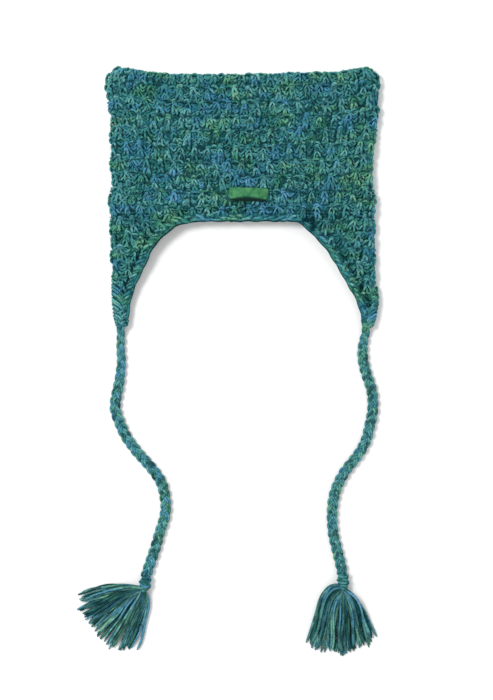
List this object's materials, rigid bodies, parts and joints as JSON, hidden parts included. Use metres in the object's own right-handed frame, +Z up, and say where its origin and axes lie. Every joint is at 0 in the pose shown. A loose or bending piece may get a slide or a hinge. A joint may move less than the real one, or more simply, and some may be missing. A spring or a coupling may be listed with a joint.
{
  "type": "knit bonnet",
  "caption": "Crocheted bonnet laid flat, with a square top, corner ears, folded ear flaps, a crocheted edging, plaited ties and yarn tassels.",
  "frame": {"origin": "on the floor below the middle of the hat without its ties, knots and tassels", "axes": "+Z up from the floor, +Y towards the closed top edge, +X across the hat, to the right in the view from above"},
  "size_m": [0.2979, 0.5863, 0.0257],
  "materials": {
    "crochet": "soft variegated teal, blue and green yarn in chunky crochet",
    "edging_yarn": "the same variegated yarn in a chain edging",
    "plaited_yarn": "the same variegated yarn in a three strand plait",
    "wrapped_yarn": "the same variegated yarn wound in close turns",
    "tassel_yarn": "loose soft spun strands of the same yarn",
    "woven_label": "close woven green ribbon, bare"
  },
  "bodies": {
    "root": {"crown": "crochet", "ear_flap_left": "crochet", "ear_flap_right": "crochet", "edging_front": "edging_yarn", "edging_back": "edging_yarn", "label": "woven_label", "tie_left": "plaited_yarn", "tie_right": "plaited_yarn", "knot_left": "wrapped_yarn", "knot_right": "wrapped_yarn", "tassel_left": "tassel_yarn", "tassel_right": "tassel_yarn"}
  },
  "joints": []
}
